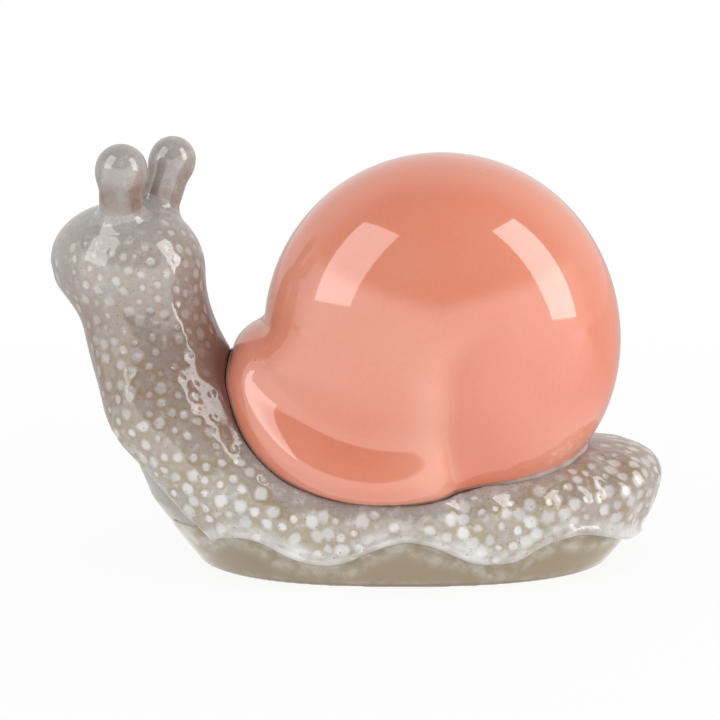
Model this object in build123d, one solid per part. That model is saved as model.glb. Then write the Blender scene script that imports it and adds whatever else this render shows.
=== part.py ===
"""Glazed stoneware snail figurine, built from its separate castings.

Millimetres, +Z up. The head points to -X and the tail to +X, the snail's left side is -Y,
and the origin is the middle of the flat underside.
"""

from build123d import *
import os
from math import atan2, copysign, cos, degrees, radians, sin
from typing import NamedTuple

# Walls, fits and joints
CAST_WALL = 4.5
FIT_CLEARANCE = 0.3
BED_THICKNESS = 0.6
BED_BEAD = 0.8

# Sole under the body
SOLE_HEIGHT = 9.0
SKIRT_OVERHANG = 1.0
SPIGOT_HEIGHT = 3.0
SPIGOT_WALL = 4.0
DRAIN_RADIUS = 5.0
DRAIN_X = 26.0

# Foot and tail
FOOT_MIDDLE_X = 5.0
FOOT_HALF_WIDTH = 35.5
FOOT_BACK_HEIGHT = 32.5
FOOT_FULLNESS = 2.6
FOOT_AXIS_HEIGHT = 6.0
TAIL_TIP_X = 69.0
TAIL_TIP_HEIGHT = 23.0
TAIL_TIP_HALF_HEIGHT = 5.0
TAIL_TIP_HALF_WIDTH = 8.0
TAIL_RISE_POWER = 1.6
TAIL_DEPTH_POWER = 0.6
TAIL_WIDTH_POWER = 1.4
FOOT_FRONT_X = -56.0
FOOT_FRONT_HEIGHT = 12.0
FOOT_FRONT_HALF_HEIGHT = 9.0
FOOT_FRONT_HALF_WIDTH = 12.5

# Neck and head
NECK_ROOT_X = -22.0
NECK_ROOT_HEIGHT = 10.0
NECK_ROOT_PITCH = 12.0
NECK_ROOT_PULL = 17.0
NECK_ROOT_HALF_WIDTH = 31.0
NECK_ROOT_HALF_DEPTH = 24.0
NECK_TOP_SET_BACK = 3.0
NECK_TOP_DROP = 2.5
NECK_TOP_PITCH = 88.0
NECK_TOP_PULL = 38.0
NECK_TOP_HALF_WIDTH = 17.4
NECK_TOP_HALF_DEPTH = 17.2
NECK_FLARE_POWER = 2.5
NAPE_RADIUS = 17.8
HEAD_X = -76.0
HEAD_Y = 4.0
HEAD_HEIGHT = 80.5
HEAD_FRONT_LENGTH = 22.5
HEAD_REAR_LENGTH = 16.0
HEAD_HALF_WIDTH = 19.0
HEAD_HALF_HEIGHT = 16.2
HEAD_TURN = 38.0

# Shell: the main whorl, the front whorl that overlaps it, and the lip that flares along its lower edge
SHELL_X = 8.4
SHELL_SINK = 5.8
SHELL_RADIUS = 48.0
SHELL_HALF_WIDTH = 41.5
SHELL_HAUNCH = 2.5
SHELL_FULLNESS = 2.3
FRONT_WHORL_X = 2.0
FRONT_WHORL_BELOW = 9.7
FRONT_WHORL_REACH = 50.0
FRONT_WHORL_RISE = 22.0
FRONT_WHORL_DROP = 36.0
FRONT_WHORL_HALF_WIDTH = 40.0
CREASE_X = 10.5
LIP_X = -2.0
LIP_BELOW = 2.2
LIP_REACH = 47.4
LIP_DROP = 36.4
LIP_HALF_WIDTH = 38.5
LIP_FULLNESS = 2.6
LIP_RADIUS = 6.5
SEAT_HEIGHT = 20.0
VENT_RADIUS = 4.0

# Eye stalks
STALK_RADIUS = 5.6
LEFT_BULB_RADIUS = 7.0
RIGHT_BULB_RADIUS = 6.7
STALK_LENGTH = 13.4
STALK_SET_BACK = 4.6
STALK_BASE_SPREAD = 7.2
STALK_SPLAY = 13.0
STALK_LEAN_BACK = 13.5
TENON_RADIUS = 3.0
TENON_LENGTH = 6.0
SLIP_WIDTH = 1.4
SLIP_HEIGHT = 4.0
SLIP_EDGE = 0.4

# Room that a trimming block covers beyond the figurine
TRIM = 400.0

# Where the sections are taken: tilts of the whorls and the head, turns of the lip, points round a
# section of the foot, shares of the way along the tail, the front of the foot and the neck, and
# the smallest section that is kept
WHORL_TILTS = (-82, -66, -45, -22, 0, 22, 45, 66, 82)
HEAD_TILTS = (-75, -50, -25, 0, 25, 50, 68, 82)
LIP_TURNS = (195, 215, 235, 255, 275, 295)
FOOT_POINTS = 16
TAIL_SHARES = (1.0, 0.93, 0.78, 0.42, 0.0)
FRONT_SHARES = (0.44, 0.82, 1.0)
NECK_SHARES = (0.0, 0.2, 0.4, 0.6, 0.8, 1.0)
SMALLEST_SECTION = 1.5


class Station(NamedTuple):
    """One oval section of the foot or neck, square to its spine."""

    x: float
    z: float
    pitch: float
    half_depth: float
    half_width: float


def between(start, finish, share):
    """Value a share of the way from start to finish."""
    return start + (finish - start) * share


def foot_half_depth():
    """Half the depth of the foot's middle section, which reaches below the sole."""
    return FOOT_BACK_HEIGHT - FOOT_AXIS_HEIGHT


def tail_station(share):
    """Section a share of the way from the middle of the foot to the tip of the tail."""
    return Station(
        x=between(FOOT_MIDDLE_X, TAIL_TIP_X, share),
        z=between(FOOT_AXIS_HEIGHT, TAIL_TIP_HEIGHT, share ** TAIL_RISE_POWER),
        pitch=0,
        half_depth=between(TAIL_TIP_HALF_HEIGHT, foot_half_depth(), (1 - share) ** TAIL_DEPTH_POWER),
        half_width=between(TAIL_TIP_HALF_WIDTH, FOOT_HALF_WIDTH, (1 - share ** TAIL_WIDTH_POWER) ** 0.5),
    )


def front_station(share):
    """Section a share of the way from the middle of the foot to its front end."""
    fullness = (1 - share ** 2) ** 0.5
    return Station(
        x=between(FOOT_MIDDLE_X, FOOT_FRONT_X, share),
        z=between(FOOT_AXIS_HEIGHT, FOOT_FRONT_HEIGHT, share ** 2),
        pitch=0,
        half_depth=between(FOOT_FRONT_HALF_HEIGHT, foot_half_depth(), fullness),
        half_width=between(FOOT_FRONT_HALF_WIDTH, FOOT_HALF_WIDTH, fullness),
    )


def foot_stations():
    """Sections of the foot, from the tip of the tail to its front end."""
    tail = [tail_station(share) for share in TAIL_SHARES]
    front = [front_station(share) for share in FRONT_SHARES]
    return tail + front


def heading(pitch):
    """Direction towards the head, raised by a pitch."""
    return Vector(-cos(radians(pitch)), 0, sin(radians(pitch)))


def neck_top():
    """Upper end of the neck's curve, inside the head."""
    return Vector(HEAD_X + NECK_TOP_SET_BACK, 0, HEAD_HEIGHT - NECK_TOP_DROP)


def neck_stations():
    """Sections of the neck, along a curve from inside the foot up into the head."""
    root = Vector(NECK_ROOT_X, 0, NECK_ROOT_HEIGHT)
    top = neck_top()
    root_handle = root + heading(NECK_ROOT_PITCH) * NECK_ROOT_PULL
    top_handle = top - heading(NECK_TOP_PITCH) * NECK_TOP_PULL
    spine = Bezier(root, root_handle, top_handle, top)
    stations = []
    for share in NECK_SHARES:
        place = spine @ share
        along = spine % share
        flare = (1 - share ** 2) ** NECK_FLARE_POWER
        stations.append(Station(
            x=place.X,
            z=place.Z,
            pitch=degrees(atan2(along.Z, -along.X)),
            half_depth=between(NECK_TOP_HALF_DEPTH, NECK_ROOT_HALF_DEPTH, flare),
            half_width=between(NECK_TOP_HALF_WIDTH, NECK_ROOT_HALF_WIDTH, flare),
        ))
    return stations


def oval(station, grow):
    """Face of one section, grown or shrunk all round."""
    along = heading(station.pitch)
    across = Vector(-along.Z, 0, along.X)
    plane = Plane(origin=(station.x, 0, station.z), x_dir=across, z_dir=along)
    return plane * Ellipse(station.half_depth + grow, station.half_width + grow)


def full_oval(station, grow):
    """Face of one upright section of the foot, fuller than an ellipse."""
    points = []
    for index in range(FOOT_POINTS):
        angle = radians(360 * index / FOOT_POINTS)
        across = copysign(abs(cos(angle)) ** (2 / FOOT_FULLNESS), cos(angle))
        rise = copysign(abs(sin(angle)) ** (2 / FOOT_FULLNESS), sin(angle))
        points.append((
            station.x,
            (station.half_width + grow) * across,
            station.z + (station.half_depth + grow) * rise,
        ))
    return Face(Wire([Edge.make_spline(points, periodic=True)]))


def oval_loft(stations, grow, section=oval):
    """Smooth form through a row of oval sections, leaving out those that shrink away."""
    kept = [station for station in stations if station.half_depth + grow > SMALLEST_SECTION]
    return loft([section(station, grow) for station in kept])


def foot_form(grow=0.0):
    """Foot and tail; the shrunken form stops a wall short at each end."""
    stations = foot_stations()
    if grow <= -CAST_WALL:
        stations = stations[1:-1]
    return oval_loft(stations, grow, full_oval)


def head_form(grow=0.0):
    """Egg-shaped head, lofted along the way it faces."""
    sections = []
    for tilt in HEAD_TILTS:
        share = cos(radians(tilt))
        length = HEAD_FRONT_LENGTH if tilt > 0 else HEAD_REAR_LENGTH
        along = (length + grow) * sin(radians(tilt))
        plane = Plane(origin=head_middle() + head_facing() * along, x_dir=(0, 0, 1), z_dir=head_facing())
        sections.append(plane * Ellipse((HEAD_HALF_HEIGHT + grow) * share, (HEAD_HALF_WIDTH + grow) * share))
    return loft(sections)


def head_middle():
    """Middle of the head."""
    return Vector(HEAD_X, HEAD_Y, HEAD_HEIGHT)


def head_facing():
    """Level direction in which the head faces."""
    return Vector(-cos(radians(HEAD_TURN)), sin(radians(HEAD_TURN)), 0)


def neck_form(grow=0.0):
    """Neck with its rounded nape, which the head covers in front."""
    nape = Pos(neck_top()) * Sphere(NAPE_RADIUS + grow)
    return oval_loft(neck_stations(), grow) + nape


def body_form(grow=0.0):
    """Foot, neck and head as one form."""
    return foot_form(grow) + neck_form(grow) + head_form(grow)


def level_block(bottom, top):
    """Block between two heights, wider than the figurine."""
    return Pos(0, 0, bottom) * Box(TRIM, TRIM, top - bottom, align=(Align.CENTER, Align.CENTER, Align.MIN))


def whorl(pole_x, pole_z, radii, half_width, grow):
    """Rounded whorl lofted across Y through one outline that shrinks to a small flat on each side."""
    count = len(radii)
    angles = [radians(360 * index / count) for index in range(count)]
    sections = []
    for tilt in WHORL_TILTS:
        share = cos(radians(tilt)) ** (2 / SHELL_FULLNESS)
        side = abs(sin(radians(tilt))) ** (2 / SHELL_FULLNESS)
        offset = (half_width + grow) * (side if tilt > 0 else -side)
        points = [
            (pole_x + share * (radius + grow) * cos(angle), offset,
             pole_z + share * (radius + grow) * sin(angle))
            for radius, angle in zip(radii, angles)
        ]
        sections.append(Face(Wire([Edge.make_spline(points, periodic=True)])))
    return loft(sections)


def shell_height():
    """Height of the middle of the main whorl, which sinks a little below its seat."""
    return SEAT_HEIGHT + SHELL_RADIUS - SHELL_SINK


def main_whorl(grow):
    """Big round whorl, a little fuller at its lower rear."""
    radii = [SHELL_RADIUS] * 8
    radii[-1] = SHELL_RADIUS + SHELL_HAUNCH
    return whorl(SHELL_X, shell_height(), radii, SHELL_HALF_WIDTH, grow)


def ahead_of_crease(grow):
    """Block in front of the crease."""
    return Pos(CREASE_X + grow, 0, 0) * Box(TRIM, TRIM, TRIM, align=(Align.MAX, Align.CENTER, Align.CENTER))


def front_whorl(grow):
    """Last whorl, which swells over the neck and ends at the crease on each side."""
    reach, rise, drop = FRONT_WHORL_REACH, FRONT_WHORL_RISE, FRONT_WHORL_DROP
    quarter_up = ((reach ** -2 + rise ** -2) / 2) ** -0.5
    quarter_down = ((reach ** -2 + drop ** -2) / 2) ** -0.5
    radii = [rise, rise, rise, quarter_up, reach, quarter_down, drop, drop]
    height = shell_height() - FRONT_WHORL_BELOW
    return whorl(FRONT_WHORL_X, height, radii, FRONT_WHORL_HALF_WIDTH, grow) & ahead_of_crease(grow)


def lip_roll(side, grow):
    """Rolled lip along the lower edge of the front whorl, on one side."""
    points = []
    for turn in LIP_TURNS:
        along, rise = cos(radians(turn)), sin(radians(turn))
        out = (1 - abs(along) ** LIP_FULLNESS) ** (1 / LIP_FULLNESS)
        points.append((
            LIP_X + (LIP_REACH - LIP_RADIUS) * along,
            side * (LIP_HALF_WIDTH - LIP_RADIUS) * out,
            shell_height() - LIP_BELOW + (LIP_DROP - LIP_RADIUS) * rise,
        ))
    path = Spline(points)
    return sweep(Plane(origin=path @ 0, z_dir=path % 0) * Circle(LIP_RADIUS + grow), path)


def shell_form(grow=0.0):
    """Whole outside of the shell, before it is cut flat at its seat."""
    lips = (lip_roll(-1, grow) + lip_roll(1, grow)) & ahead_of_crease(grow)
    return main_whorl(grow) + front_whorl(grow) + lips


def stalk_place(side):
    """Location at the foot of one stalk, its Z axis along the stalk; side is 1 on the snail's left."""
    upward = Vector(0, 0, 1)
    leftward = upward.cross(head_facing())
    back = STALK_SET_BACK / HEAD_REAR_LENGTH
    out = STALK_BASE_SPREAD / HEAD_HALF_WIDTH
    height = HEAD_HALF_HEIGHT * (1 - back ** 2 - out ** 2) ** 0.5
    foot = head_middle() + upward * height - head_facing() * STALK_SET_BACK
    foot = foot + leftward * (side * STALK_BASE_SPREAD)
    lean = leftward * (side * sin(radians(STALK_SPLAY))) - head_facing() * sin(radians(STALK_LEAN_BACK))
    return Plane(origin=foot, z_dir=upward + lean)


def stalk_rod(place, bulb_radius):
    """Round stalk and bulb, with its lower end still inside the head."""
    rod = Cylinder(STALK_RADIUS, STALK_LENGTH + TENON_LENGTH, align=(Align.CENTER, Align.CENTER, Align.MIN))
    return place * (Pos(0, 0, -TENON_LENGTH) * rod + Pos(0, 0, STALK_LENGTH) * Sphere(bulb_radius))


def tenon(place, clearance=0.0):
    """Peg from inside the stalk into the head, or with a clearance the socket that takes it."""
    length = TENON_LENGTH + SLIP_HEIGHT
    peg = Cylinder(TENON_RADIUS + clearance, length, align=(Align.CENTER, Align.CENTER, Align.MIN))
    return place * Pos(0, 0, -TENON_LENGTH) * peg


def slip_flare(place):
    """Cone of slip at the foot of a stalk, before the stalk and head trim it."""
    top_radius = STALK_RADIUS + SLIP_EDGE
    return place * Cone(top_radius + 2 * SLIP_WIDTH, top_radius, 2 * SLIP_HEIGHT)


BODY = body_form()
SHELL = shell_form()

# Shell: hollow, cut flat at its base above the bedding
shell_cavity = main_whorl(-CAST_WALL) + front_whorl(-CAST_WALL)
shell_base = SEAT_HEIGHT + BED_THICKNESS
shell_casting = (SHELL & level_block(shell_base, TRIM)) - shell_cavity

# Seat: the shell's own form with room for the bedding
seat = shell_form(BED_THICKNESS) & level_block(SEAT_HEIGHT, TRIM)
bedding = seat & body_form(BED_BEAD)
bedding = bedding - (SHELL & level_block(shell_base, TRIM)) - shell_cavity

# Body: hollow, open underneath, dished on top for the shell
seat_wall = shell_form(BED_THICKNESS + CAST_WALL) & level_block(SEAT_HEIGHT - CAST_WALL, TRIM)
body_cavity = body_form(-CAST_WALL) - seat_wall
vent = Pos(SHELL_X, 0, SEAT_HEIGHT) * Cylinder(VENT_RADIUS, CAST_WALL * 4)
body_casting = (BODY & level_block(SOLE_HEIGHT, TRIM)) - body_cavity - seat - vent

# Sole: a tray that fits up inside the skirt
sole_slab = body_form(-SKIRT_OVERHANG) & level_block(0, SOLE_HEIGHT)
spigot = foot_form(-CAST_WALL - FIT_CLEARANCE) & level_block(CAST_WALL, SOLE_HEIGHT + SPIGOT_HEIGHT)
tray = foot_form(-CAST_WALL - FIT_CLEARANCE - SPIGOT_WALL) & level_block(CAST_WALL, TRIM)
sole_slab = sole_slab + spigot - tray
sole_slab = sole_slab - Pos(DRAIN_X, 0, 0) * Cylinder(DRAIN_RADIUS, SOLE_HEIGHT * 4)

nodes = {
    "sole_slab": sole_slab,
    "shell_casting": shell_casting,
    "shell_bedding": bedding,
}

# Eye stalks: each pegged into the head, with one fillet of slip round the feet of both
places = {"left": stalk_place(1), "right": stalk_place(-1)}
bulb_radii = {"left": LEFT_BULB_RADIUS, "right": RIGHT_BULB_RADIUS}
stalk_slip = slip_flare(places["left"]) + slip_flare(places["right"]) - BODY
for name, place in places.items():
    rod = stalk_rod(place, bulb_radii[name])
    stalk_slip = stalk_slip - rod
    body_casting = body_casting - tenon(place, FIT_CLEARANCE)
    nodes[f"{name}_eye_stalk"] = (rod - BODY) + tenon(place)

nodes["stalk_slip"] = stalk_slip
nodes["body_casting"] = body_casting

os.makedirs("parts", exist_ok=True)
for name, shape in nodes.items():
    export_step(shape, f"parts/{name}.step")
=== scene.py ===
"""Glazed stoneware snail figurine, dressed around its packed castings.

The forms are distance fields in millimetres, in the frame of the castings: +Z up, the head towards -X
and the snail's left side towards -Y. A field is negative inside. Each one is meshed, and the mesh is
made in metres.
"""

import logging
import math
from dataclasses import dataclass, field
from enum import Enum
from typing import Any, Callable

import bpy
import numpy as np
from bpy.types import Light, Material, Node, NodeSocket, NodeTree, Object
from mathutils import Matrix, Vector


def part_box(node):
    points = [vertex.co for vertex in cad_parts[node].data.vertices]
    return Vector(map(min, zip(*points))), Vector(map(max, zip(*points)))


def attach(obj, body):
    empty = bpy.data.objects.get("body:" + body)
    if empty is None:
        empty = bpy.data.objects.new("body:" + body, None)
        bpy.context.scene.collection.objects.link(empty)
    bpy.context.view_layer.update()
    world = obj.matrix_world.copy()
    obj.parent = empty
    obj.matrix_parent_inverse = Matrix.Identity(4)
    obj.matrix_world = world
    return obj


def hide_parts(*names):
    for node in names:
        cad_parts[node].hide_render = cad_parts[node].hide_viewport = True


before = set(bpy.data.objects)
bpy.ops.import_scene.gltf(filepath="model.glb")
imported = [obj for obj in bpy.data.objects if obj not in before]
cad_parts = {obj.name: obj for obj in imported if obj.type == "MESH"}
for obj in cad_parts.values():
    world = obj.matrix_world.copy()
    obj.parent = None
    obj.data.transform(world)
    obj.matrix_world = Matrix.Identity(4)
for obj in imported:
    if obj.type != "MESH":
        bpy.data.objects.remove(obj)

LOG = logging.getLogger("snail")
MM = 0.001
BODY = "root"

Array = np.ndarray
Field = Callable[[Array, Array, Array], Array]


class Slot(Enum):
    """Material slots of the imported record."""

    SPOTTED_GLAZE = "spotted_glaze"
    BARE_CLAY = "bare_clay"
    CORAL_GLAZE = "coral_glaze"
    BEDDING_SLIP = "bedding_slip"
    STALK_GLAZE = "stalk_glaze"


class Side(Enum):
    """The two eye stalks; the value is 1 on the snail's left."""

    LEFT = 1
    RIGHT = -1


def smooth_union(first: Array, second: Array, radius: Any) -> Array:
    """Join two fields with a rounded valley.

    Args:
        first: One field's values.
        second: The other field's values.
        radius: Width of the rounding, in millimetres.

    Returns:
        Values of the joined field.
    """
    share = np.clip(0.5 + 0.5 * (second - first) / radius, 0.0, 1.0)
    return second + (first - second) * share - radius * share * (1.0 - share)


def smooth_cut(first: Array, second: Array, radius: Any) -> Array:
    """Keep what lies in both fields, with a rounded edge.

    Args:
        first: One field's values.
        second: The other field's values.
        radius: Width of the rounding, in millimetres.

    Returns:
        Values of the common field.
    """
    return -smooth_union(-first, -second, radius)


def ease(low: float, high: float, value: Array) -> Array:
    """Smooth step from 0 at low to 1 at high.

    Args:
        low: Value at which the step starts.
        high: Value at which it ends.
        value: Where it is taken.

    Returns:
        The step's height, from 0 to 1.
    """
    share = np.clip((value - low) / (high - low), 0.0, 1.0)
    return share * share * (3.0 - 2.0 * share)


def gradient(form: Field, points: Array, step: float = 0.05) -> Array:
    """Slope of a field by central differences.

    Args:
        form: The field.
        points: Points, one row each, in millimetres.
        step: Half the distance between the two samples.

    Returns:
        One slope vector for each point.
    """
    slope = np.empty_like(points)
    for axis in range(3):
        shift = np.zeros(3)
        shift[axis] = step
        ahead, behind = (points + shift).T, (points - shift).T
        slope[:, axis] = (form(*ahead) - form(*behind)) / (2.0 * step)
    return slope


@dataclass
class FieldMesher:
    """Turns a distance field into a closed mesh of even quads."""

    cell: float
    rounds: int = 4

    def mesh(self, form: Field, low: Array, high: Array) -> tuple[Array, Array]:
        """Mesh the part of a field inside a box.

        Args:
            form: The field, negative inside.
            low: Lowest corner of the box, in millimetres.
            high: Highest corner of the box, in millimetres.

        Returns:
            Points, and quads as rows of point numbers that turn outwards.
        """
        axes = [np.arange(a, b + self.cell, self.cell) for a, b in zip(low, high)]
        x, y, z = (grid.astype(float) for grid in np.meshgrid(*axes, indexing="ij", sparse=True))
        values = np.broadcast_to(form(x, y, z), tuple(len(axis) for axis in axes))
        points, quads = self.net(values, axes)
        for _ in range(self.rounds):
            points = self.settle(form, self.relax(points, quads))
        return points, quads

    def net(self, values: Array, axes: list[Array]) -> tuple[Array, Array]:
        """Place one point in each cell that the surface crosses and join neighbours.

        Args:
            values: Field values on the grid.
            axes: Grid positions along X, Y and Z.

        Returns:
            Points and quads.
        """
        inside = values < 0.0
        cells = tuple(count - 1 for count in values.shape)
        total = np.zeros(cells + (3,))
        count = np.zeros(cells)
        crossings = []
        for axis in range(3):
            near = [slice(None)] * 3
            far = [slice(None)] * 3
            near[axis], far[axis] = slice(0, -1), slice(1, None)
            mixed = inside[tuple(near)] != inside[tuple(far)]
            index = np.argwhere(mixed)
            first = values[tuple(near)][mixed]
            second = values[tuple(far)][mixed]
            place = index.astype(float)
            place[:, axis] += first / (first - second)
            others = [a for a in range(3) if a != axis]
            inner = np.ones(len(index), bool)
            for other in others:
                inner &= (index[:, other] > 0) & (index[:, other] < cells[other])
            index, place, first = index[inner], place[inner], first[inner]
            corners = []
            for step_a, step_b in ((0, 0), (1, 0), (1, 1), (0, 1)):
                cell = index.copy()
                cell[:, others[0]] -= step_a
                cell[:, others[1]] -= step_b
                np.add.at(total, tuple(cell.T), place)
                np.add.at(count, tuple(cell.T), 1.0)
                corners.append(cell)
            flip = (first < 0.0) == (axis == 1)
            crossings.append((corners, flip))
        used = count > 0
        number = np.full(cells, -1)
        number[used] = np.arange(used.sum())
        spots = total[used] / count[used][:, None]
        points = np.array([axis[0] for axis in axes]) + spots * self.cell
        quads = []
        for corners, flip in crossings:
            faces = np.stack([number[tuple(cell.T)] for cell in corners], axis=1)
            faces[flip] = faces[flip][:, ::-1]
            quads.append(faces)
        return points, np.concatenate(quads)[:, ::-1]

    def relax(self, points: Array, quads: Array) -> Array:
        """Move each point half way to the middle of its neighbours."""
        total = np.zeros_like(points)
        count = np.zeros(len(points))
        for corner in range(4):
            here, there = quads[:, corner], quads[:, (corner + 1) % 4]
            np.add.at(total, here, points[there])
            np.add.at(total, there, points[here])
            np.add.at(count, here, 1.0)
            np.add.at(count, there, 1.0)
        return 0.5 * points + 0.5 * total / np.maximum(count, 1.0)[:, None]

    def settle(self, form: Field, points: Array) -> Array:
        """Bring points back onto the surface of a field."""
        slope = gradient(form, points)
        steep = np.maximum((slope ** 2).sum(axis=1), 0.05)
        move = (form(*points.T) / steep)[:, None] * slope
        length = np.linalg.norm(move, axis=1, keepdims=True)
        return points - move * np.minimum(1.0, self.cell / np.maximum(length, 1e-9))


@dataclass
class ShellForm:
    """Field of the shell: a round whorl, the lobe and rolled lip over the neck, and a crease."""

    top: float
    middle_x: float = 8.6
    radius: float = 47.8
    half_width: float = 39.9
    haunch: float = 2.0
    fullness: float = 2.3
    lobe_x: float = 2.0
    lobe_z: float = 52.5
    lobe_reach: float = 50.2
    lobe_rise: float = 16.6
    lobe_drop: float = 38.0
    lobe_back: float = 36.0
    lobe_half_width: float = 32.2
    lobe_squareness: float = 3.0
    lobe_blend: float = 2.5
    lobe_side_blend: float = 6.0
    lip_x: float = -8.0
    lip_z: float = 60.0
    lip_reach: float = 35.2
    lip_drop: float = 31.0
    lip_squareness: float = 2.3
    lip_out: float = 34.8
    lip_fullness: float = 1.95
    lip_radius: float = 5.5
    lip_start: float = 204.0
    lip_end: float = 306.0
    lip_cut: float = 11.0
    lip_blend: float = 11.0
    crease_x: float = 9.3
    crease_ridge: float = 1.3
    crease_valley: float = 3.4
    crease_run: float = 18.0
    crease_roll: float = 4.5

    def field(self, x: Array, y: Array, z: Array) -> Array:
        """Distance to the shell at points in millimetres."""
        side = ease(8.0, 28.0, np.abs(y)) * ease(38.0, 56.0, z)
        blend = self.lobe_blend + self.lobe_side_blend * side
        past = x - self.crease_line(z)
        form = smooth_union(self.whorl(x, y, z), smooth_cut(self.lobe(x, y, z), past, 5.0), blend)
        lip = smooth_cut(self.lip(x, y, z), past - 0.25 * self.lip_cut, self.lip_cut)
        form = smooth_union(form, lip, self.lip_blend)
        return form - self.crease(x, y, z)

    def whorl(self, x: Array, y: Array, z: Array) -> Array:
        """Big round whorl, a little fuller at its lower rear."""
        along, rise = x - self.middle_x, z - (self.top - self.radius)
        turn = np.arctan2(rise, along)
        radius = self.radius + self.haunch * np.clip(np.cos(turn + math.pi / 4), 0.0, 1.0) ** 4
        round_share = np.hypot(along, rise) / radius
        across = np.abs(y) / self.half_width
        size = (round_share ** self.fullness + across ** self.fullness) ** (1.0 / self.fullness)
        return (size - 1.0) * self.radius

    def lobe(self, x: Array, y: Array, z: Array) -> Array:
        """Front of the last whorl, an oval that reaches over the neck."""
        along = (x - self.lobe_x) / np.where(x < self.lobe_x, self.lobe_reach, self.lobe_back)
        rise = (z - self.lobe_z) / np.where(z > self.lobe_z, self.lobe_rise, self.lobe_drop)
        across = np.abs(y) / self.lobe_half_width
        square = self.lobe_squareness
        round_share = (np.abs(along) ** square + np.abs(rise) ** square) ** (1.0 / square)
        size = round_share ** self.fullness + across ** self.fullness
        return (size ** (1.0 / self.fullness) - 1.0) * self.lobe_half_width

    def lip_line(self, turn: Array) -> Array:
        """Middle line of the rolled lip on one side, as rows of X, distance from the middle plane and Z."""
        along, rise = np.cos(turn), np.sin(turn)
        square = self.lip_squareness
        size = (np.abs(along) ** square + np.abs(rise) ** square) ** (1.0 / square)
        along, rise = along / size, rise / size
        out = (1.0 - np.abs(along) ** self.lip_fullness) ** (1.0 / self.lip_fullness)
        return np.stack([self.lip_x + self.lip_reach * along, self.lip_out * out,
                         self.lip_z + self.lip_drop * rise])

    def lip(self, x: Array, y: Array, z: Array) -> Array:
        """Rolled lip along the lower edge of the lobe, a thick bead that follows an oval line."""
        low, high, step = math.radians(self.lip_start), math.radians(self.lip_end), 0.01
        place = np.stack(np.broadcast_arrays(x, np.abs(y), z))
        turn = np.arctan2((z - self.lip_z) / self.lip_drop, (x - self.lip_x) / self.lip_reach)
        turn = np.clip(np.mod(np.broadcast_to(turn, place.shape[1:]), 2.0 * math.pi), low, high)
        for _ in range(3):
            along = (self.lip_line(turn + step) - self.lip_line(turn - step)) / (2.0 * step)
            shift = ((place - self.lip_line(turn)) * along).sum(axis=0) / (along ** 2).sum(axis=0)
            turn = np.clip(turn + np.clip(shift, -0.2, 0.2), low, high)
        return np.sqrt(((place - self.lip_line(turn)) ** 2).sum(axis=0)) - self.lip_radius

    def crease_line(self, z: Array) -> Array:
        """Place of the crease along X at each height."""
        return self.crease_x + 0.032 * np.maximum(z - 55.0, 0.0) ** 2 + 0.004 * np.maximum(50.0 - z, 0.0) ** 2

    def crease(self, x: Array, y: Array, z: Array) -> Array:
        """Height of the crease: a rolled edge in front of its line and a valley that runs out behind."""
        past = x - self.crease_line(z)
        fade = ease(18.0, 38.0, z) * (1.0 - ease(54.0, 78.0, z)) * ease(10.0, 26.0, np.abs(y))
        front = np.maximum(-past, 0.0)
        swell = self.crease_valley + self.crease_ridge * np.exp(-front / self.crease_run)
        ahead = swell * (1.0 - np.exp(-front / self.crease_roll)) - self.crease_valley
        behind = -self.crease_valley * np.exp(-np.maximum(past, 0.0) / (0.5 * self.crease_run))
        return fade * np.where(past < 0.0, ahead, behind)


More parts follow.
